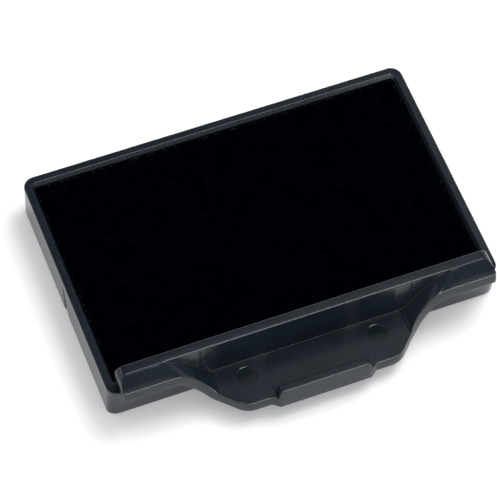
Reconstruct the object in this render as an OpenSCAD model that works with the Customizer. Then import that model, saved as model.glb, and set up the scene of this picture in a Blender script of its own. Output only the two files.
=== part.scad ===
// Ink pad cassette for a self-inking hand stamp.
// A shallow moulded tray holds a felt core under a woven cover cloth. The front wall stands
// above the rim as a fascia, with a sloping visor that dips into a finger tab.
// Origin: centre of the tray's underside, halfway between its rims. +X runs along the long
// side, -Y points out of the front towards the finger tab, and +Z points up. Millimetres.

/* [Tray] */
// Outside length of the tray
tray_l = 55; // [50:0.5:64]
// Outside width of the tray at its rim, front face to back face
tray_w = 35.5; // [30:0.25:42]
// Height of the side and back rims
tray_h = 6.35; // [6:0.05:6.8]
// Thickness of the side and back walls
wall_t = 1.3; // [0.9:0.05:1.6]
// Thickness of the front wall at the rim
front_wall_t = 1.95; // [1.7:0.05:2.3]
// Thickness of the floor
floor_t = 1.2; // [0.8:0.1:1.6]
// Radius of the upright outside corners
corner_r = 1.6; // [1:0.1:2.5]
// Radius of the upright corners inside the pocket
pocket_r = 0.6; // [0.3:0.1:1]
// How far the front face leans back towards the underside
front_draft = 0.5; // [0:0.05:0.6]

/* [Fascia] */
// Height of the raised front wall
fascia_h = 9.9; // [9.6:0.1:10.6]
// Thickness of the fascia along its top
fascia_t = 1.3; // [1:0.05:1.5]
// How far each end of the fascia stops short of the tray's side
fascia_inset = 1.35; // [1:0.05:2]
// Radius of the fascia's top corners
fascia_r = 1.3; // [0.8:0.1:1.3]
// How far the visor stands out of the tray's front rim
visor_out = 1.75; // [1.4:0.05:2.2]
// How far the visor's top falls from the fascia to its front edge
visor_fall = 1.4; // [1:0.1:1.6]
// Height of the visor's front face
visor_face = 1.55; // [1.2:0.05:1.7]

/* [Finger tab] */
// Height of the tab's flat top face
tab_z = 4; // [3.6:0.1:4.4]
// Thickness of the skin that forms the tab and the dip's sides
skin_t = 1.6; // [1.2:0.1:1.8]
// How far the tab stands out of the tray's front rim
tab_out = 6.35; // [5.8:0.05:7.5]
// Half of the flat width at the bottom of the dip
dip_half = 13.6; // [12:0.1:15]
// Slope of the dip's sides
dip_slope = 48; // [42:1:54]
// Half of the tab's straight front edge
tab_half = 9.5; // [9:0.1:10]
// Radius of the tab's front corners, in plan
tab_corner_r = 3.2; // [2.6:0.1:3.6]
// Radius of the sweep from the visor into the tab, in plan
tab_sweep_r = 5.4; // [4.6:0.1:6]

/* [Lip] */
// Half of the lip's length along its top
lip_half = 6.4; // [5:0.1:7]
// Height of the lip above the tab's face
lip_rise = 1.7; // [1.2:0.1:2.2]
// Thickness of the lip along its top
lip_t = 1.15; // [0.8:0.05:1.3]
// How far the lip's foot stands out of the tab's front edge
lip_out = 0.9; // [0.6:0.05:1.1]

/* [Pad] */
// How far the cloth lies below the rim
pad_drop = 0.95; // [0.6:0.05:1.4]
// Thickness of the cover cloth
cloth_t = 0.4; // [0.3:0.05:0.6]
// Clearance between the pad and the pocket's walls
pad_gap = 0.12; // [0.1:0.01:0.3]

/* [Hidden] */
$fn = 64;
arc_steps = 6;

front_y = -tray_w / 2;
pocket_l = tray_l - 2 * wall_t;
pocket_front_y = front_y + front_wall_t;
pocket_w = tray_w / 2 - wall_t - pocket_front_y;
pocket_y = pocket_front_y + pocket_w / 2;
cloth_top = tray_h - pad_drop;

fascia_half = tray_l / 2 - fascia_inset;
fascia_y = pocket_front_y - fascia_t;
// The fascia's front face leans out a little towards the tab, as a moulded face does.
fascia_lean = 0.35;
fascia_foot_y = fascia_y - fascia_lean;

visor_y = front_y - visor_out;
visor_edge_z = fascia_h - visor_fall;
visor_under_z = visor_edge_z - visor_face;

// Fillet where the dip's sides meet the tab's face, and the reach of its tangent along each.
dip_fillet_r = 1;
dip_tangent = dip_fillet_r * tan(dip_slope / 2);

tab_y = front_y - tab_out;
tab_under_z = tab_z - skin_t;
tab_turn = 45;
lip_top_z = tab_z + lip_rise;
// The lip's front face leans out towards its foot, and its ends run out in a ramp.
lip_lean = 0.5;
lip_ramp = 0.9;
lip_end_r = 0.7;

// Round, shallow witness marks of the ejector pins on the tab.
pin_mark_r = 1.15;
pin_mark_x = 9.2;
pin_mark_y = fascia_foot_y - 2.3;
pin_mark_depth = 0.12;

// Latch notch low on each side wall: a narrow upright wedge, open at the underside.
notch_depth = 0.2;
notch_top = [0.6, 4.7];
notch_back_y = 0;
notch_width = 0.9;

// Points of an arc about c, from angle a0 to a1.
function arc(c, r, a0, a1) =
    [for (i = [0:arc_steps]) let (a = a0 + (a1 - a0) * i / arc_steps) c + r * [cos(a), sin(a)]];

// A half outline, from its centre point outwards, with its mirror image added.
function mirrored(half) = concat(half, [for (i = [len(half) - 1:-1:0]) [-half[i][0], half[i][1]]]);

module rounded_plate(l, w, r) {
    square([l - 2 * r, w], center = true);
    square([l, w - 2 * r], center = true);
    for (x = [-1, 1], y = [-1, 1])
        translate([x * (l / 2 - r), y * (w / 2 - r)]) circle(r);
}

// Turns a profile drawn in X and Z into a prism that runs from y0 forwards to y1.
module along_y(y0, y1) {
    translate([0, y0, 0]) rotate([90, 0, 0]) linear_extrude(y0 - y1) children();
}

// Turns a profile drawn in Y and Z into a prism that runs from x0 to x1.
module along_x(x0, x1) {
    translate([x0, 0, 0]) rotate([90, 0, 90]) linear_extrude(x1 - x0) children();
}

// Tray without its pocket: upright walls, and a front face that leans back towards the underside.
module tray_block() {
    difference() {
        linear_extrude(tray_h) rounded_plate(tray_l, tray_w, corner_r);
        along_x(-tray_l, tray_l) polygon([
            [front_y, tray_h], [front_y + front_draft, 0], [front_y - wall_t, 0], [front_y - wall_t, tray_h]]);
    }
}

// Front view of the fascia and the visor: square below and rounded at the two top corners.
module fascia_outline() {
    polygon(mirrored(concat(
        [[fascia_half, floor_t]],
        arc([fascia_half - fascia_r, fascia_h - fascia_r], fascia_r, 0, 90))));
}

module fascia() {
    intersection() {
        along_y(pocket_front_y, front_y) fascia_outline();
        along_x(-tray_l, tray_l) polygon([
            [pocket_front_y, floor_t],
            [pocket_front_y, fascia_h],
            [fascia_y, fascia_h],
            [fascia_foot_y, tab_z],
            [fascia_foot_y, floor_t]]);
    }
}

// Inside of the dip, seen from the front, from its fillets up to the given height.
function dip_line(top_z) = concat(
    arc([dip_half - dip_tangent, tab_z + dip_fillet_r], dip_fillet_r, -90, dip_slope - 90),
    [[dip_half + (top_z - tab_z) / tan(dip_slope), top_z]]);

// Front view of the skin: level under the visor, down the dip's sides and level across the tab.
module skin_profile() {
    under_half = dip_half + skin_t * tan(dip_slope / 2);
    polygon(mirrored(concat(
        dip_line(fascia_h),
        [[fascia_half, fascia_h],
         [fascia_half, visor_under_z],
         [under_half + (visor_under_z - tab_under_z) / tan(dip_slope), visor_under_z],
         [under_half, tab_under_z]])));
}

// Plan of the visor and the tab: straight along the visor, sweeping out into the tab.
module apron_plan() {
    round_centre = [tab_half, tab_y + tab_corner_r];
    round_end = round_centre + tab_corner_r * [sin(tab_turn), -cos(tab_turn)];
    sweep_rise = tab_sweep_r * (1 - cos(tab_turn));
    // The straight stretch lies at 45 degrees, so it is as long across as it is forwards.
    straight = visor_y - sweep_rise - round_end[1];
    sweep_centre = [round_end[0] + straight + tab_sweep_r * sin(tab_turn), visor_y - tab_sweep_r];
    polygon(mirrored(concat(
        arc(round_centre, tab_corner_r, -90, tab_turn - 90),
        arc(sweep_centre, tab_sweep_r, tab_turn + 90, 90),
        [[fascia_half, visor_y], [fascia_half, fascia_y]])));
}

// Visor, dip and tab as one skin: its front view, its plan and the visor's slope together.
module apron() {
    slope = visor_fall / (fascia_y - visor_y);
    intersection() {
        along_y(fascia_y, tab_y) skin_profile();
        along_y(fascia_y, tab_y) fascia_outline();
        linear_extrude(fascia_h) apron_plan();
        along_x(-tray_l, tray_l) polygon([
            [fascia_y, 0],
            [fascia_y, fascia_h],
            [tab_y, fascia_h - slope * (fascia_y - tab_y)],
            [tab_y, 0]]);
    }
}

// What the dip clears in front of the fascia's leaning face.
module dip_clearance() {
    intersection() {
        along_y(fascia_y, tab_y) polygon(mirrored(dip_line(fascia_h)));
        along_x(-tray_l, tray_l) polygon([
            [fascia_foot_y, tab_z], [fascia_y, fascia_h], [visor_y, fascia_h], [visor_y, tab_z]]);
    }
}

// Raised lip that the finger pulls on, at the tab's front edge.
module lip() {
    foot_y = tab_y - lip_out;
    top_y = foot_y + lip_lean;
    intersection() {
        along_x(-tray_l, tray_l) polygon([
            [foot_y, tab_under_z],
            [top_y, lip_top_z],
            [top_y + lip_t, lip_top_z],
            [top_y + lip_t, tab_under_z]]);
        along_y(tab_y + tab_corner_r, foot_y) polygon(mirrored(concat(
            [[lip_half + lip_ramp, tab_under_z], [lip_half + lip_ramp, tab_z]],
            arc([lip_half - lip_end_r, lip_top_z - lip_end_r], lip_end_r, 30, 90))));
    }
}

module latch_notch() {
    along_x(tray_l / 2 - notch_depth, tray_l) polygon([
        [notch_back_y, 0], notch_top, [notch_back_y - notch_width, 0]]);
}

module tray() {
    color("#23292c") difference() {
        union() {
            tray_block();
            fascia();
            apron();
            lip();
        }
        translate([0, pocket_y, floor_t]) linear_extrude(tray_h) rounded_plate(pocket_l, pocket_w, pocket_r);
        dip_clearance();
        for (x = [-1, 1])
            translate([x * pin_mark_x, pin_mark_y, tab_z - pin_mark_depth]) cylinder(r = pin_mark_r, h = skin_t);
        for (side = [0, 1]) mirror([side, 0, 0]) latch_notch();
    }
}

// The pad fills the pocket's plan, less its clearance.
module pad_plan() {
    translate([0, pocket_y]) rounded_plate(pocket_l - 2 * pad_gap, pocket_w - 2 * pad_gap, pocket_r);
}

module pad_core() {
    color("#0b0c12") translate([0, 0, floor_t]) linear_extrude(cloth_top - cloth_t - floor_t) pad_plan();
}

module pad_cloth() {
    color("#050508") translate([0, 0, cloth_top - cloth_t]) linear_extrude(cloth_t) pad_plan();
}

tray();
pad_core();
pad_cloth();
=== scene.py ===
"""Looks for an ink pad cassette of a self-inking stamp: a moulded tray, a felt core and a woven cover cloth.

All shapes are worked out in millimetres in the CAD's own frame: +X along the tray, -Y out of the front
towards the finger tab, +Z up, with the origin under the tray's middle.
"""

import math

import bmesh
import bpy
import numpy as np
from mathutils import Matrix, Vector


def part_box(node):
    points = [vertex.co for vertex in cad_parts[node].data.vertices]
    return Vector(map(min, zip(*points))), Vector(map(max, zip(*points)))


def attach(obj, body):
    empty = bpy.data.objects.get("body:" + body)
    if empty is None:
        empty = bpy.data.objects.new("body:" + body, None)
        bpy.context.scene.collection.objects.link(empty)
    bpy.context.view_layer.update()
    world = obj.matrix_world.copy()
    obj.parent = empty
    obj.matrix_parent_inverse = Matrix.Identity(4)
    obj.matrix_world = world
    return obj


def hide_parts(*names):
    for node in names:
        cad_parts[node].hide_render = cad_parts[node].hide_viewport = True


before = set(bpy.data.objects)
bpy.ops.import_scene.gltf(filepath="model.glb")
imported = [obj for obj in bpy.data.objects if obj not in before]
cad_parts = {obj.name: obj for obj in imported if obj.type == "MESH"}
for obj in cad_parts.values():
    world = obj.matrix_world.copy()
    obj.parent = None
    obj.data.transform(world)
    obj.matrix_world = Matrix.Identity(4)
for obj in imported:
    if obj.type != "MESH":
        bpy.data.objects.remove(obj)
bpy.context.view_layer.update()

MM = 0.001


def box_mm(node):
    """Lowest and highest corner of a CAD node, in millimetres."""
    low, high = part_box(node)
    return np.array(low) / MM, np.array(high) / MM


# ---------------------------------------------------------------- sizes, in millimetres
tray_low, tray_high = box_mm("tray")
core_low, core_high = box_mm("pad_core")
cloth_low, cloth_high = box_mm("pad_cloth")

HALF_LENGTH = tray_high[0]
BACK_Y = tray_high[1]
FRONT_Y = -BACK_Y
FASCIA_TOP = tray_high[2]
LIP_FOOT_Y = tray_low[1]

RIM_Z = 6.35
WALL = 1.3
FRONT_WALL = 1.95
FLOOR = 1.2
CORNER_R = 1.6
POCKET_R = 0.6
FRONT_DRAFT = 0.5
POCKET_FRONT_Y = FRONT_Y + FRONT_WALL

FASCIA_INSET = 1.35
FASCIA_THICK = 1.3
FASCIA_HALF = HALF_LENGTH - FASCIA_INSET
FASCIA_CORNER_R = 1.3
STRIP_Y = POCKET_FRONT_Y - FASCIA_THICK
RECESS_LEAN = 0.35
RECESS_FOOT_Y = STRIP_Y - RECESS_LEAN
VISOR_OUT = 1.75
VISOR_Y = FRONT_Y - VISOR_OUT
VISOR_FALL = 1.4
VISOR_FACE = 1.55
# The front face leans back at its top by this much.
FACE_LEAN = 0.34

TAB_Z = 4.0
SKIN = 1.6
TAB_OUT = 6.35
TAB_Y = FRONT_Y - TAB_OUT
DIP_HALF = 13.6
DIP_SLOPE = math.radians(48)
TAB_HALF = 9.5
TAB_CORNER_R = 3.2
TAB_SWEEP_R = 5.4
TAB_TURN = math.radians(45)

LIP_HALF = 6.4
LIP_RISE = 1.7
LIP_TOP = 1.15
LIP_LEAN = 0.5
LIP_END_R = 0.7
# Beyond each end of the lip its foot runs back to the tab's edge over this length.
LIP_FLARE = 1.15

PIN_X = 9.2
PIN_Y = RECESS_FOOT_Y - 2.3
PIN_R = 1.4
PIN_DEPTH = 0.12
PIN_ROUND = 0.05

# Latch notch low on each side wall: a narrow upright wedge whose tip leans towards the back.
NOTCH_TIP_Y = 0.6
NOTCH_TIP_Z = 4.7
NOTCH_HALF = 0.45
NOTCH_DEPTH = 0.2

# Radii that the mould leaves on the tray's edges.
OUTER_EDGE = 0.3
INNER_EDGE = 0.2
RIM_OUTER_EDGE = 0.13
RIM_INNER_EDGE = 0.14
# The rim's flat top and the height down to which its inner face leans.
RIM_TOP = 0.95
RIM_LEAN_Z = 5.7
FOOT_EDGE = 0.35
POCKET_TOP_R = 0.2
POCKET_FOOT_R = 0.3
FILLET = 0.035
DIP_FILLET = 1.0
UNDER_FILLET = 0.8
LIP_BACK_R = 0.18
LIP_CREST_R = 0.25
UNDER_EDGE = 0.22
# How much the visor's slope and the dip's side blend where they meet.
SHOULDER = 1.8
# An X well past the tray's ends, where open lines stop.
FAR_X = 40.0

ARC_STEPS = 5
# Points closer together than this are merged, and edges that turn more than this many degrees are sharp.
MERGE = 0.004
SHARP_ANGLE = 32

# The pad: its crown, its edges and how its cloth's cut edge stands up against the walls.
FELT_CROWN = 0.12
FELT_DROP = 0.03
FELT_EDGE = 0.5
CLOTH_CROWN = 0.04
CLOTH_DROP = 0.02
CLOTH_EDGE = 0.1
WAVE_HEIGHT = 0.02
FRAY_LOW = 0.14
FRAY_SPREAD = 0.3
FRAY_REACH = 0.45
FRAY_EASE = 0.4


# ---------------------------------------------------------------- mesh helpers
def linear(code):
    """Linear red, green, blue and alpha of an sRGB hex colour."""
    srgb = np.array([int(code[i : i + 2], 16) for i in (1, 3, 5)]) / 255
    low = srgb / 12.92
    high = ((srgb + 0.055) / 1.055) ** 2.4
    return (*np.where(srgb <= 0.04045, low, high).tolist(), 1.0)


def quads(rows, columns, wrap):
    """Quads between neighbouring rows of points; wrap joins the last column to the first."""
    index = np.arange(rows * columns).reshape(rows, columns)
    if wrap:
        index = np.concatenate([index, index[:, :1]], axis=1)
    corners = [index[:-1, :-1], index[:-1, 1:], index[1:, 1:], index[1:, :-1]]
    return np.stack(corners, axis=-1).reshape(-1, 4)


def mesh_object(name, points, faces):
    """A mesh object from points in millimetres and its faces.

    Doubled points are merged, and a closed mesh has its faces turned outwards: its signed volume is positive.
    """
    mesh = bpy.data.meshes.new(name)
    mesh.from_pydata((np.asarray(points) * MM).tolist(), [], [list(map(int, f)) for f in faces])
    obj = bpy.data.objects.new(name, mesh)
    bpy.context.scene.collection.objects.link(obj)
    work = bmesh.new()
    work.from_mesh(mesh)
    bmesh.ops.remove_doubles(work, verts=work.verts, dist=MERGE * MM)
    bmesh.ops.dissolve_degenerate(work, edges=work.edges, dist=MERGE * MM)
    bmesh.ops.recalc_face_normals(work, faces=work.faces)
    if work.calc_volume(signed=True) < 0:
        bmesh.ops.reverse_faces(work, faces=work.faces)
    work.to_mesh(mesh)
    work.free()
    mesh.shade_smooth()
    return obj


def round_corners(corners, radii, steps=ARC_STEPS):
    """Turns each corner of a row of closed polygons into an arc.

    corners is rows x k x 2 and radii k, or rows x k. Each arc is the conic through its two tangent points
    and its corner whose weight is the sine of half the corner's inside angle, which makes it circular.
    A radius too big for the sides beside it shrinks until its tangent points reach halfway along them.
    """
    corners = np.asarray(corners, float)
    before = np.roll(corners, 1, axis=1) - corners
    after = np.roll(corners, -1, axis=1) - corners
    len_before = np.linalg.norm(before, axis=2)
    len_after = np.linalg.norm(after, axis=2)
    before = before / np.maximum(len_before, 1e-9)[..., None]
    after = after / np.maximum(len_after, 1e-9)[..., None]
    half_angle = np.arccos(np.clip((before * after).sum(axis=2), -1, 1)) / 2
    reach = np.asarray(radii) / np.tan(np.maximum(half_angle, 1e-3))
    reach = np.minimum(reach, 0.49 * np.minimum(len_before, len_after))[:, :, None, None]
    s = np.linspace(0, 1, steps + 1)[:, None]
    weight = np.sin(half_angle)[:, :, None, None]
    middle = corners[:, :, None, :]
    start = middle + before[:, :, None, :] * reach
    end = middle + after[:, :, None, :] * reach
    top = (1 - s) ** 2 * start + 2 * weight * s * (1 - s) * middle + s**2 * end
    bottom = (1 - s) ** 2 + 2 * weight * s * (1 - s) + s**2
    return (top / bottom).reshape(len(corners), -1, 2)


def rounded_height(x, corners, radii):
    """Height over x of an open line through the given corners, each rounded to its radius."""
    line = round_corners(np.array([corners]), np.array(radii), steps=16)[0]
    return np.interp(x, line[:, 0], line[:, 1])


def smooth_step(t):
    """0 below 0, 1 above 1 and an even ease between."""
    t = np.clip(t, 0, 1)
    return t * t * (3 - 2 * t)


# ---------------------------------------------------------------- tray shell
def dip_line(x, foot, floor_z, top_z, radius):
    """Height over x of a level floor that turns up the dip's slope at foot and stops at top_z."""
    rise = (top_z - floor_z) / math.tan(DIP_SLOPE)
    end = FAR_X
    return rounded_height(
        np.abs(x),
        [[0, floor_z], [foot, floor_z], [foot + rise, top_z], [end, top_z]],
        [0, radius, radius, 0],
    )


def tray_shell():
    """Walls and floor of the tray: one profile carried round the rounded rectangle.

    The profile runs from the underside up the outer face, over the rim and down into the pocket. Each of its
    points is an inset from the outer face and a height. At every inset the path is a rectangle shrunk by that
    much, whose corner radius falls evenly from the outer one to the pocket's. The front face leans back
    towards the underside, and inside the finger dip it stands back behind the fascia's skin. Each side wall
    is pushed in over its latch notch, by an eased step across the wedge times an eased step over its tip.
    """
    underside_inset = 3.0
    floor_inset = WALL + 1.5
    pocket_inset = WALL + 0.02
    wall_heights = np.linspace(0.8, RIM_Z - 0.6, 12)
    profile = [[underside_inset, 0.0], [0.0, 0.0]]
    profile += [[0.0, z] for z in wall_heights]
    profile += [[0.0, RIM_Z], [RIM_TOP, RIM_Z]]
    profile += [[pocket_inset, RIM_LEAN_Z], [pocket_inset, FLOOR], [floor_inset, FLOOR]]
    radii = [0, FOOT_EDGE] + [0] * len(wall_heights)
    radii += [RIM_OUTER_EDGE, RIM_INNER_EDGE, POCKET_TOP_R, POCKET_FOOT_R, 0]
    line = round_corners(np.array([profile]), np.array(radii))[0]
    inset, z = line[:, :1], line[:, 1:]
    half_l = HALF_LENGTH - inset
    back_y = BACK_Y - inset
    front_y = FRONT_Y + inset * FRONT_WALL / WALL
    radius = np.maximum(CORNER_R - inset * (CORNER_R - POCKET_R) / WALL, 0.1)

    corner_steps = 10
    turn = np.linspace(0, math.pi / 2, corner_steps + 1)
    corners = []
    for side_x, side_y, start in ((1, -1, -90), (1, 1, 0), (-1, 1, 90), (-1, -1, 180)):
        angle = math.radians(start) + turn
        edge_y = back_y if side_y > 0 else front_y
        x = side_x * (half_l - radius) + radius * np.cos(angle)
        y = edge_y - side_y * radius + radius * np.sin(angle)
        corners.append(np.stack([x, y], axis=-1))
    # Stations along the four straight sides, as fractions: right, back, left, front.
    notch_zone = np.linspace(0.40, 0.56, 41)
    side = np.unique(np.concatenate([np.linspace(0, 1, 17)[1:-1], notch_zone]))
    sides = [side, np.linspace(0, 1, 17)[1:-1], side, np.linspace(0, 1, 140)[1:-1]]
    path = []
    for i, stations in enumerate(sides):
        here, there = corners[i], corners[(i + 1) % 4]
        path.append(here)
        path.append(here[:, -1:] + stations[:, None] * (there[:, :1] - here[:, -1:]))
    path = np.concatenate(path, axis=1)
    x, y = path[..., 0], path[..., 1]
    z = np.broadcast_to(z, x.shape)

    # Draft of the front face.
    on_front = np.clip((FRONT_Y + CORNER_R - y) / CORNER_R, 0, 1)
    y = y + FRONT_DRAFT * (1 - z / RIM_Z) * on_front
    # The wall behind the dip stands back inside the fascia, from the middle of the skin upwards.
    hidden_y = STRIP_Y + 0.2
    skin_middle = dip_line(x, DIP_HALF + 0.35, TAB_Z - SKIN / 2, FASCIA_TOP, 0.3)
    inside_dip = np.clip((z - skin_middle) / 0.4 + 0.5, 0, 1)
    y = np.where(y < hidden_y, y * (1 - inside_dip) + hidden_y * inside_dip, y)
    # Latch notch on each side wall.
    half_width = NOTCH_HALF * (1 - z / NOTCH_TIP_Z)
    across = np.abs(y - (NOTCH_TIP_Y * z / NOTCH_TIP_Z - half_width))
    below_tip = smooth_step((NOTCH_TIP_Z + 0.1 - z) / 0.3)
    dent = NOTCH_DEPTH * smooth_step(1.5 - across / (half_width + 0.1)) * below_tip
    on_side = np.abs(x) > HALF_LENGTH - 0.7
    x = x - np.sign(x) * dent * on_side

    points = np.stack([x, y, z], axis=-1)
    rows, columns = x.shape
    faces = quads(rows, columns, wrap=True).tolist()
    faces.append(list(range(columns))[::-1])
    faces.append(list(range((rows - 1) * columns, rows * columns)))
    return mesh_object("tray_shell", points.reshape(-1, 3), faces)


# ---------------------------------------------------------------- fascia, visor, dip and tab
def front_outline(x):
    """Front edge's Y over x: the tab's straight edge, an arc, a 45 degree run, a sweep and the visor."""
    arc = np.linspace(0, TAB_TURN, 25)
    corner_x = TAB_HALF + TAB_CORNER_R * np.sin(arc)
    corner_y = TAB_Y + TAB_CORNER_R * (1 - np.cos(arc))
    corner = np.stack([corner_x, corner_y], axis=-1)
    sweep_rise = TAB_SWEEP_R * (1 - math.cos(TAB_TURN))
    run = VISOR_Y - sweep_rise - corner[-1, 1]
    centre = np.array([corner[-1, 0] + run + TAB_SWEEP_R * math.sin(TAB_TURN), VISOR_Y - TAB_SWEEP_R])
    sweep = centre + TAB_SWEEP_R * np.stack([-np.sin(arc[::-1]), np.cos(arc[::-1])], axis=-1)
    line = np.concatenate([[[0, TAB_Y]], corner, sweep, [[FAR_X, VISOR_Y]]])
    return np.interp(np.abs(x), line[:, 0], line[:, 1])


def front_stations():
    """X of every cross-section, close together where the shape turns."""
    end_turn = np.radians(np.linspace(0, 90, 14))
    half = np.concatenate(
        [
            np.linspace(0, 5.4, 7),
            np.arange(5.5, 7.6, 0.07),
            np.arange(7.6, 9.4, 0.3),
            np.arange(9.4, 12.6, 0.15),
            np.arange(12.6, 14.6, 0.08),
            np.arange(14.6, 20.4, 0.12),
            np.linspace(20.5, FASCIA_HALF - FASCIA_CORNER_R, 8),
            FASCIA_HALF - FASCIA_CORNER_R + FASCIA_CORNER_R * np.sin(end_turn),
        ]
    )
    half = np.unique(half.round(5))
    return np.concatenate([-half[:0:-1], half])


def front_moulding():
    """Fascia, visor, finger dip, tab and lip as one closed surface, made of cross-sections along X.

    At every X the cross-section is a polygon in Y and Z with rounded corners: up the fascia's back, over its
    strip, down the leaning recess wall to the dip's floor, out along the dip or the visor's slope to the
    front edge, over the lip where there is one, down the front face and back along the underside into the
    wall. The visor's flat slope and the dip's side meet in a smooth minimum: a mix of the two heights by a
    share that runs evenly from 0 to 1 across the blend, less blend x share x (1 - share).
    """
    x = front_stations()
    reach = np.abs(x)
    # The fascia's top corners are round in the front view.
    past = np.clip(reach - (FASCIA_HALF - FASCIA_CORNER_R), 0, FASCIA_CORNER_R)
    top_z = FASCIA_TOP - FASCIA_CORNER_R + np.sqrt(np.maximum(FASCIA_CORNER_R**2 - past**2, 0))
    # The end faces meet the front and back faces in a small round.
    end_past = np.clip(reach - (FASCIA_HALF - OUTER_EDGE), 0, OUTER_EDGE)
    end_inset = OUTER_EDGE - np.sqrt(np.maximum(OUTER_EDGE**2 - end_past**2, 0))

    slope = VISOR_FALL / (STRIP_Y - VISOR_Y)
    front = front_outline(x)
    dip = dip_line(x, DIP_HALF, TAB_Z, FASCIA_TOP + 3, DIP_FILLET)
    under_foot = DIP_HALF + SKIN * math.tan(DIP_SLOPE / 2)
    visor_under_z = FASCIA_TOP - VISOR_FALL - VISOR_FACE
    under = dip_line(x, under_foot, TAB_Z - SKIN, visor_under_z, UNDER_FILLET)

    # Lip: how fully it stands at each X, in height and in how far it stands out.
    lip_fall = np.clip((reach - (LIP_HALF - LIP_END_R)) / (LIP_END_R + 0.15), 0, 1)
    lip_height = LIP_RISE * np.sqrt(np.maximum(1 - lip_fall**2.6, 0))
    lip_here = smooth_step((LIP_HALF + LIP_FLARE - reach) / (LIP_FLARE + 0.1))
    foot_out = LIP_FOOT_Y - TAB_Y
    no_lip = 1 - lip_here
    foot = front + foot_out * lip_here + (end_inset - FACE_LEAN / 2) * no_lip
    crest_front_y = front + (foot_out + LIP_LEAN) * lip_here + (end_inset + FACE_LEAN / 2) * no_lip
    lip_back_y = front + foot_out + LIP_LEAN + LIP_TOP

    zeros = np.zeros_like(x)
    back_y = POCKET_FRONT_Y + 0.01 + zeros - end_inset

    def surface(y):
        """Height of the visor's slope where it blends into the dip, at each X and the given Y."""
        flat = FASCIA_TOP - slope * (STRIP_Y - y)
        blend = SHOULDER * (1.5 - 0.5 * smooth_step((STRIP_Y - y) / 2.2))
        share = np.clip(0.5 + 0.5 * (flat - dip) / blend, 0, 1)
        blended = dip * share + flat * (1 - share) - blend * share * (1 - share)
        return np.minimum(np.where(reach < DIP_HALF, dip, blended), top_z)

    edge_y = front + end_inset
    break_y = np.maximum(STRIP_Y - (FASCIA_TOP - top_z) / slope, edge_y + 0.3)
    wall_foot_z = surface(STRIP_Y - 0.15)
    wall_foot_y = STRIP_Y - RECESS_LEAN * (FASCIA_TOP - wall_foot_z) / (FASCIA_TOP - TAB_Z)
    wall_foot_y = np.minimum(wall_foot_y, break_y) - 0.05
    edge_z = surface(edge_y)
    lip_y = np.minimum(lip_back_y * lip_here + (edge_y + 0.75) * no_lip, wall_foot_y - 0.05)
    flat_z = surface(lip_y)
    crest_z = flat_z + lip_height * (lip_here > 0)
    crest_front_z = np.where(lip_here > 0, TAB_Z + lip_height, edge_z)
    under_z = under + end_inset
    inner_y = zeros + POCKET_FRONT_Y - 0.8
    buried_z = zeros + FLOOR + 1.0

    # Y, Z and radius of each corner, in order round the cross-section.
    corners = [
        (back_y, buried_z, 0),
        (back_y, top_z, INNER_EDGE),
        (break_y, top_z, OUTER_EDGE),
        (wall_foot_y, wall_foot_z, FILLET),
    ]
    for part in np.linspace(0, 1, 8)[1:-1]:
        y = wall_foot_y + (lip_y - wall_foot_y) * part
        corners.append((y, surface(y), 0))
    corners += [
        (lip_y, flat_z, LIP_BACK_R),
        (lip_y, crest_z, LIP_CREST_R),
        (crest_front_y, crest_front_z, OUTER_EDGE),
        (foot, under_z, UNDER_EDGE),
        (inner_y, under_z, 0),
        (inner_y, buried_z, 0),
    ]
    polygon = np.stack([np.stack([c[0], c[1]], axis=-1) for c in corners], axis=1)
    loops = round_corners(polygon, np.array([c[2] for c in corners]))
    rows, columns = loops.shape[:2]
    points = np.concatenate([np.broadcast_to(x[:, None, None], (rows, columns, 1)), loops], axis=2)
    faces = quads(rows, columns, wrap=True).tolist()
    faces.append(list(range(columns))[::-1])
    faces.append(list(range((rows - 1) * columns, rows * columns)))
    return mesh_object("front_moulding", points.reshape(-1, 3), faces)


def pin_cutters():
    """Two shallow round cutters for the ejector pins' marks: a profile turned about an upright axis."""
    sides = 48
    turn = np.linspace(0, 2 * math.pi, sides + 1)[:-1]
    rings = np.array([[PIN_R - PIN_ROUND, -PIN_DEPTH], [PIN_R, -PIN_DEPTH + PIN_ROUND], [PIN_R, 1.0]])
    radius, height = rings[:, :1], np.broadcast_to(rings[:, 1:], (len(rings), sides))
    ring_points = np.stack([radius * np.cos(turn), radius * np.sin(turn), height], axis=-1).reshape(-1, 3)
    faces = quads(len(rings), sides, wrap=True).tolist()
    faces += [list(range(sides))[::-1], list(range((len(rings) - 1) * sides, len(rings) * sides))]
    points, all_faces = [], []
    for i, side in enumerate((-1, 1)):
        points.append(ring_points + np.array([side * PIN_X, PIN_Y, TAB_Z]))
        all_faces += [[v + i * len(ring_points) for v in f] for f in faces]
    return mesh_object("pin_cutters", np.concatenate(points), all_faces)


def combine(target, other, operation):
    """Joins other to target, or cuts it away, and removes it."""
    modifier = target.modifiers.new(operation.lower(), "BOOLEAN")
    modifier.object = other
    modifier.operation = operation
    modifier.solver = "EXACT"
    graph = bpy.context.evaluated_depsgraph_get()
    mesh = bpy.data.meshes.new_from_object(target.evaluated_get(graph))
    target.modifiers.clear()
    target.data = mesh
    bpy.data.objects.remove(other)


def sharpen(obj, degrees):
    """Edges that turn more than the given angle are sharp, and flat faces keep an even shade."""
    mesh = obj.data
    mesh.shade_smooth()
    mesh.set_sharp_from_angle(angle=math.radians(degrees))
    weighted = obj.modifiers.new("even flats", "WEIGHTED_NORMAL")
    weighted.keep_sharp = True
    weighted.weight = 100
    graph = bpy.context.evaluated_depsgraph_get()
    result = bpy.data.meshes.new_from_object(obj.evaluated_get(graph))
    obj.modifiers.clear()
    obj.data = result


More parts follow.
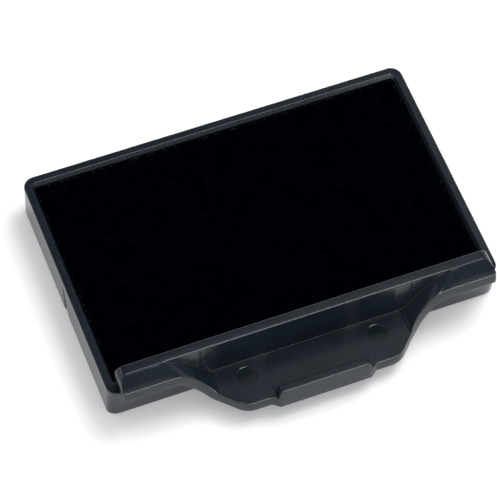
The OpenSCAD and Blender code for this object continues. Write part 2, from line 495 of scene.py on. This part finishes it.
# ---------------------------------------------------------------- pad
def slab(name, low, high, edge_r, steps, relief):
    """A closed slab over a grid in X and Y, with rounded upright corners and top edge.

    Grid lines run across the box both ways, steps apart and closer together over its rounded edge. The top
    falls in a quarter circle of radius edge_r towards the rim, and relief, a function of X and Y, adds to it.
    """
    size = (high - low)[:2]
    count = (np.maximum(size / steps, 4)).astype(int)

    def spread(n, half):
        """Places of the grid lines: even inside, and at even turns of the quarter circle over the edge."""
        ease = np.linspace(0, math.pi / 2, 7)
        near = half - edge_r * (1 - np.sin(ease))
        inner = np.linspace(-(half - edge_r), half - edge_r, n)
        return np.unique(np.concatenate([-near, inner, near]).round(5))

    gx, gy = spread(count[0], size[0] / 2), spread(count[1], size[1] / 2)
    x, y = np.meshgrid(gx, gy, indexing="ij")
    past_x = np.clip(np.abs(x) - (size[0] / 2 - edge_r), 0, edge_r)
    past_y = np.clip(np.abs(y) - (size[1] / 2 - edge_r), 0, edge_r)
    past = np.minimum(np.hypot(past_x, past_y), edge_r)
    fall = edge_r - np.sqrt(edge_r**2 - past**2)
    # Corner points are drawn in onto the upright corner's round.
    over = np.maximum(np.hypot(past_x, past_y) / edge_r, 1)
    x = np.sign(x) * (np.abs(x) - past_x + past_x / over)
    y = np.sign(y) * (np.abs(y) - past_y + past_y / over)
    centre = (low + high)[:2] / 2
    z = high[2] - fall + relief(x, y) * (1 - past / edge_r)
    top = np.stack([x + centre[0], y + centre[1], z], axis=-1)
    bottom = top.copy()
    bottom[..., 2] = low[2]
    nx, ny = x.shape
    faces = quads(nx, ny, wrap=False)
    under = faces[:, ::-1] + nx * ny
    index = np.arange(nx * ny).reshape(nx, ny)
    rim = np.concatenate([index[:-1, 0], index[-1, :-1], index[:0:-1, -1], index[0, :0:-1]])
    ahead = np.roll(rim, -1)
    wall = np.stack([rim, rim + nx * ny, ahead + nx * ny, ahead], axis=-1)
    all_faces = np.concatenate([faces, under, wall]).tolist()
    return mesh_object(name, np.concatenate([top.reshape(-1, 3), bottom.reshape(-1, 3)]), all_faces)


# ---------------------------------------------------------------- materials
def add(tree, kind, settings=None, links=None):
    """Adds one node, sets its properties and inputs, and links its inputs to other nodes' outputs."""
    node = tree.nodes.new(kind)
    for key, value in (settings or {}).items():
        if hasattr(node, key):
            setattr(node, key, value)
        else:
            node.inputs[key].default_value = value
    for key, source in (links or {}).items():
        tree.links.new(source, node.inputs[key])
    return node


def new_material(name):
    """An empty node material and its tree."""
    material = bpy.data.materials.new(name)
    material.use_nodes = True
    material.node_tree.nodes.clear()
    return material, material.node_tree


def moulded_plastic():
    """Black ABS from a spark-eroded mould: satin, with a fine grain that breaks up its reflections.

    ABS has an IOR of about 1.54. It is matched to the tray's gloss here at 1.49, with a slightly low specular
    level. The ejector pins are ground smooth, so their round marks on the tab are evenly glossy, and their
    darker teal colour is a painted reflection of the dark surroundings that the smooth marks mirror.
    """
    material, tree = new_material("black_abs_moulded")
    place = add(tree, "ShaderNodeTexCoord")
    position = place.outputs["Object"]
    # Spark-eroded grain is about 0.1 mm; drawn at 0.16 mm so that it shows. Cloudiness is some 4 mm across.
    grain_size, cloud_size = 0.16 * MM, 4.0 * MM
    grain = add(tree, "ShaderNodeTexNoise", {"Scale": 1 / grain_size, "Detail": 3.0, "Roughness": 0.6},
                {"Vector": position})
    cloud = add(tree, "ShaderNodeTexNoise", {"Scale": 1 / cloud_size, "Detail": 4.0}, {"Vector": position})
    # 1 inside the two pin marks: the distance in plan from the nearer mark's centre, with X folded over.
    fold = add(tree, "ShaderNodeVectorMath", {"operation": "ABSOLUTE"}, {0: position})
    parts = add(tree, "ShaderNodeSeparateXYZ", None, {0: fold.outputs["Vector"]})
    plan = add(tree, "ShaderNodeCombineXYZ", None, {0: parts.outputs["X"], 1: parts.outputs["Y"]})
    away = add(tree, "ShaderNodeVectorMath", {"operation": "DISTANCE"}, {0: plan.outputs["Vector"]})
    away.inputs[1].default_value = (PIN_X * MM, abs(PIN_Y) * MM, 0)
    pin_gloss_and_painted_dark = add(tree, "ShaderNodeMapRange",
               {"From Min": (PIN_R + 0.03) * MM, "From Max": (PIN_R - 0.06) * MM},
               {"Value": away.outputs["Value"]})
    # Tone: four parts of cloud to six of grain.
    both = add(tree, "ShaderNodeMix", {"data_type": "FLOAT"},
               {2: cloud.outputs["Fac"], 3: grain.outputs["Fac"]})
    both.inputs[0].default_value = 0.6
    tone = add(tree, "ShaderNodeValToRGB", None, {"Fac": both.outputs[0]})
    tone.color_ramp.elements[0].position = 0.3
    tone.color_ramp.elements[0].color = linear("#0b1118")
    tone.color_ramp.elements[1].position = 0.7
    tone.color_ramp.elements[1].color = linear("#1a232d")
    colour = add(tree, "ShaderNodeMix", {"data_type": "RGBA"},
                 {0: pin_gloss_and_painted_dark.outputs["Result"], 6: tone.outputs["Color"]})
    # The pin marks' darker teal is a painted reflection: it stands in for the dark surroundings that their
    # smooth faces mirror.
    colour.inputs[7].default_value = linear("#07141a")
    rough = add(tree, "ShaderNodeMapRange",
                {"From Min": 0.25, "From Max": 0.75, "To Min": 0.17, "To Max": 0.27},
                {"Value": grain.outputs["Fac"]})
    smooth = add(tree, "ShaderNodeMix", {"data_type": "FLOAT"},
                 {0: pin_gloss_and_painted_dark.outputs["Result"], 2: rough.outputs["Result"]})
    smooth.inputs[3].default_value = 0.2
    grain_depth = 0.02 * MM
    bump = add(tree, "ShaderNodeBump", {"Strength": 0.22, "Distance": grain_depth},
               {"Height": grain.outputs["Fac"]})
    shader = add(tree, "ShaderNodeBsdfPrincipled",
                 {"IOR": 1.49, "Metallic": 0.0, "Specular IOR Level": 0.45},
                 {"Base Color": colour.outputs[2], "Roughness": smooth.outputs[0],
                  "Normal": bump.outputs["Normal"]})
    add(tree, "ShaderNodeOutputMaterial", None, {"Surface": shader.outputs["BSDF"]})
    return material


def inked_cloth():
    """Fine polyester weave soaked in black ink: it swallows light, with a trace of blue.

    The cut edge stands up against the walls, and the grey on it is a painted highlight where its threads
    catch the lamps.
    """
    material, tree = new_material("inked_woven_cloth")
    place = add(tree, "ShaderNodeTexCoord")
    position = place.outputs["Object"]
    # The threads lie about 0.25 mm apart, too close to show. A wave texture at scale s repeats every
    # 2 pi / (20 s), so the bands here are 1.57 mm apart.
    band_width = 0.25 * MM
    threads_scale = 1 / band_width / 20
    warp = add(tree, "ShaderNodeTexWave",
               {"Scale": threads_scale, "bands_direction": "X", "Distortion": 0.4}, {"Vector": position})
    weft = add(tree, "ShaderNodeTexWave",
               {"Scale": threads_scale, "bands_direction": "Y", "Distortion": 0.4}, {"Vector": position})
    threads = add(tree, "ShaderNodeMath", {"operation": "MULTIPLY"},
                  {0: warp.outputs["Fac"], 1: weft.outputs["Fac"]})
    # The ink lies in blotches about 1.5 mm across.
    blotch_size = 1.5 * MM
    blotch = add(tree, "ShaderNodeTexNoise", {"Scale": 1 / blotch_size, "Detail": 6.0}, {"Vector": position})
    tone = add(tree, "ShaderNodeValToRGB", None, {"Fac": blotch.outputs["Fac"]})
    tone.color_ramp.elements[0].position = 0.35
    tone.color_ramp.elements[0].color = linear("#000003")
    tone.color_ramp.elements[1].position = 0.75
    tone.color_ramp.elements[1].color = linear("#020208")
    # Painted highlight on the standing cut edge: grey by how far the edge stands above the pad, broken up by
    # a noise 0.5 mm across.
    fray_size = 0.5 * MM
    parts = add(tree, "ShaderNodeSeparateXYZ", None, {0: position})
    fray = add(tree, "ShaderNodeTexNoise", {"Scale": 1 / fray_size, "Detail": 5.0}, {"Vector": position})
    edge_highlight_rise = add(tree, "ShaderNodeMapRange",
               {"From Min": (cloth_high[2] + 0.02) * MM, "From Max": (cloth_high[2] + 0.22) * MM},
               {"Value": parts.outputs["Z"]})
    edge_highlight_breakup = add(tree, "ShaderNodeMapRange", {"From Min": 0.5, "From Max": 0.68},
                {"Value": fray.outputs["Fac"]})
    edge = add(tree, "ShaderNodeMath", {"operation": "MULTIPLY"},
               {0: edge_highlight_rise.outputs["Result"], 1: edge_highlight_breakup.outputs["Result"]})
    colour = add(tree, "ShaderNodeMix", {"data_type": "RGBA"},
                 {0: edge.outputs["Value"], 6: tone.outputs["Color"]})
    # The grey of the painted highlight on the standing cut edge.
    colour.inputs[7].default_value = linear("#1d2125")
    thread_depth = 0.05 * MM
    bump = add(tree, "ShaderNodeBump", {"Strength": 0.4, "Distance": thread_depth},
               {"Height": threads.outputs["Value"]})
    shader = add(tree, "ShaderNodeBsdfPrincipled",
                 {"Roughness": 0.95, "Specular IOR Level": 0.0, "IOR": 1.4},
                 {"Base Color": colour.outputs[2], "Normal": bump.outputs["Normal"]})
    add(tree, "ShaderNodeOutputMaterial", None, {"Surface": shader.outputs["BSDF"]})
    return material


def plain_floor():
    """Matt white card, with a little light of its own so that the lamps' fall-off doesn't grey it."""
    material, tree = new_material("white_card")
    shader = add(tree, "ShaderNodeBsdfPrincipled",
                 {"Base Color": linear("#f4f4f4"), "Roughness": 0.9, "Specular IOR Level": 0.1,
                  "Emission Color": linear("#ffffff"), "Emission Strength": 0.14})
    add(tree, "ShaderNodeOutputMaterial", None, {"Surface": shader.outputs["BSDF"]})
    return material


# ---------------------------------------------------------------- the object
plastic = moulded_plastic()
tray = tray_shell()
combine(tray, front_moulding(), "UNION")
combine(tray, pin_cutters(), "DIFFERENCE")
tray.name = "tray_moulding"
sharpen(tray, SHARP_ANGLE)
tray.data.materials.clear()
tray.data.materials.append(plastic)
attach(tray, "root")
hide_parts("tray")

cloth_material = inked_cloth()


def crown(x, y, size, height):
    """Height that falls from the middle of a slab to its edges as the fourth power of the distance."""
    half = size[:2] / 2
    return -height * np.maximum(np.abs(x) / half[0], np.abs(y) / half[1]) ** 4


def felt_relief(x, y):
    """Height added to the felt's top: a shallow crown."""
    return crown(x, y, core_high - core_low, FELT_CROWN)


felt_high = core_high - np.array([0, 0, FELT_DROP])
felt = slab("felt_core", core_low, felt_high, FELT_EDGE, 1.0, felt_relief)
felt.data.materials.append(cloth_material)
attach(felt, "root")
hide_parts("pad_core")


def cloth_relief(x, y):
    """Height added to the cloth's top: long shallow waves, and a cut edge that stands up against the walls.

    The waves are the product of a sine of X and a sine of Y, on a slight crown. Near a wall the edge rises in
    a smooth ease to FRAY_LOW plus a share of FRAY_SPREAD, which wanders along the wall as a sum of sines.
    """
    half = (cloth_high - cloth_low)[:2] / 2
    near = np.minimum(half[0] - np.abs(x), half[1] - np.abs(y))
    along = np.where(half[0] - np.abs(x) < half[1] - np.abs(y), y, x)
    wander = (0.5 + 0.12 * np.sin(along * 0.9 + 1) + 0.14 * np.sin(along * 3.1 + 0.3)
              + 0.14 * np.sin(along * 7.3 + 2 * np.sin(along)) + 0.1 * np.sin(along * 13.7))
    waves = WAVE_HEIGHT * np.sin(x / 3.1 + 0.7) * np.sin(y / 2.3 + 0.4)
    waves = waves + crown(x, y, cloth_high - cloth_low, CLOTH_CROWN)
    edge = (FRAY_LOW + FRAY_SPREAD * wander) * smooth_step((FRAY_REACH - near) / FRAY_EASE)
    return waves - CLOTH_DROP + edge


cloth = slab("cover_cloth", cloth_low, cloth_high, CLOTH_EDGE, 0.2, cloth_relief)
cloth.data.materials.append(cloth_material)
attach(cloth, "root")
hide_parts("pad_cloth")

# ---------------------------------------------------------------- floor, light and camera
CARD_HALF = 1500
CARD_Z = -0.02
card_corners = [[x * CARD_HALF, y * CARD_HALF, CARD_Z] for x, y in ((-1, -1), (1, -1), (1, 1), (-1, 1))]
floor = mesh_object("floor", card_corners, [[0, 1, 2, 3]])
floor.data.materials.append(plain_floor())


def softbox(name, place, width, height, power, hidden_from):
    """An area light at place, turned towards the origin, in millimetres and watts.

    hidden_from is the kind of ray that doesn't see it: glossy, diffuse or None.
    """
    light = bpy.data.lights.new(name, "AREA")
    light.shape = "RECTANGLE"
    light.size, light.size_y = width * MM, height * MM
    light.energy = power
    obj = bpy.data.objects.new(name, light)
    bpy.context.scene.collection.objects.link(obj)
    turn = (-Vector(place)).normalized().to_track_quat("-Z", "Y").to_matrix().to_4x4()
    obj.matrix_world = Matrix.Translation(Vector(place) * MM) @ turn
    obj.visible_glossy = hidden_from != "glossy"
    obj.visible_diffuse = hidden_from != "diffuse"


# The key and the tent light the object without showing in its gloss. The lamps hidden from diffuse light
# only show in its gloss.
softbox("key", (265, 75, 530), 300, 300, 1.7, "glossy")
softbox("tent", (0, 0, 520), 1100, 1100, 2.5, "glossy")
softbox("left_spot", (-210, -235, 385), 70, 70, 0.5, "diffuse")
softbox("overhead", (100, -75, 470), 180, 120, 0.14, None)
softbox("front_low", (120, -510, 215), 620, 140, 3.2, "diffuse")
softbox("back_top", (170, 140, 430), 240, 160, 0.068, None)
softbox("back_low", (110, 480, 160), 600, 160, 0.7, "diffuse")
softbox("left_back", (-315, 240, 300), 120, 120, 0.1, "diffuse")


def studio_world():
    """White tent: a ramp over the height of the direction, bright low down and dim and cool overhead.

    Its strength grows evenly with how far the direction points to the front, their dot product.
    """
    world = bpy.data.worlds.new("studio")
    world.use_nodes = True
    tree = world.node_tree
    tree.nodes.clear()
    place = add(tree, "ShaderNodeTexCoord")
    parts = add(tree, "ShaderNodeSeparateXYZ", None, {0: place.outputs["Generated"]})
    ramp = add(tree, "ShaderNodeValToRGB", None, {"Fac": parts.outputs["Z"]})
    stops = ramp.color_ramp.elements
    stops[0].position, stops[0].color = 0.0, (1.0, 1.0, 1.0, 1)
    stops[1].position, stops[1].color = 0.8, (0.1, 0.104, 0.11, 1)
    middle = stops.new(0.5)
    middle.color = (0.9, 0.92, 0.96, 1)
    upper = stops.new(0.68)
    upper.color = (0.2, 0.205, 0.22, 1)
    side = add(tree, "ShaderNodeVectorMath", {"operation": "DOT_PRODUCT"}, {0: place.outputs["Generated"]})
    side.inputs[1].default_value = (-0.25, -1.0, 0.0)
    share = add(tree, "ShaderNodeMapRange", {"From Min": -0.1, "From Max": 0.9, "To Min": 0.7, "To Max": 1.2},
                {"Value": side.outputs["Value"]})
    back = add(tree, "ShaderNodeBackground", None,
               {"Color": ramp.outputs["Color"], "Strength": share.outputs["Result"]})
    add(tree, "ShaderNodeOutputWorld", None, {"Surface": back.outputs["Background"]})
    bpy.context.scene.world = world


studio_world()
bpy.context.scene.view_settings.view_transform = "Standard"


def camera(eye, aim, roll_degrees, lens):
    """A camera at eye that looks at aim, both in millimetres, rolled about its axis, on a 36 mm sensor."""
    data = bpy.data.cameras.new("camera")
    data.lens = lens
    data.sensor_width = 36
    data.clip_start, data.clip_end = 0.01, 20
    obj = bpy.data.objects.new("camera", data)
    bpy.context.scene.collection.objects.link(obj)
    forward = (Vector(aim) - Vector(eye)).normalized()
    level_right = forward.cross(Vector((0, 0, 1))).normalized()
    level_up = level_right.cross(forward)
    roll = math.radians(roll_degrees)
    right = level_right * math.cos(roll) + level_up * math.sin(roll)
    up = right.cross(forward)
    turned = Matrix((right, up, -forward)).transposed().to_4x4()
    obj.matrix_world = Matrix.Translation(Vector(eye) * MM) @ turned
    bpy.context.scene.camera = obj


camera(eye=(-84.6, -195.9, 346.4), aim=(-0.95, 0.35, 0), roll_degrees=2.35, lens=216)
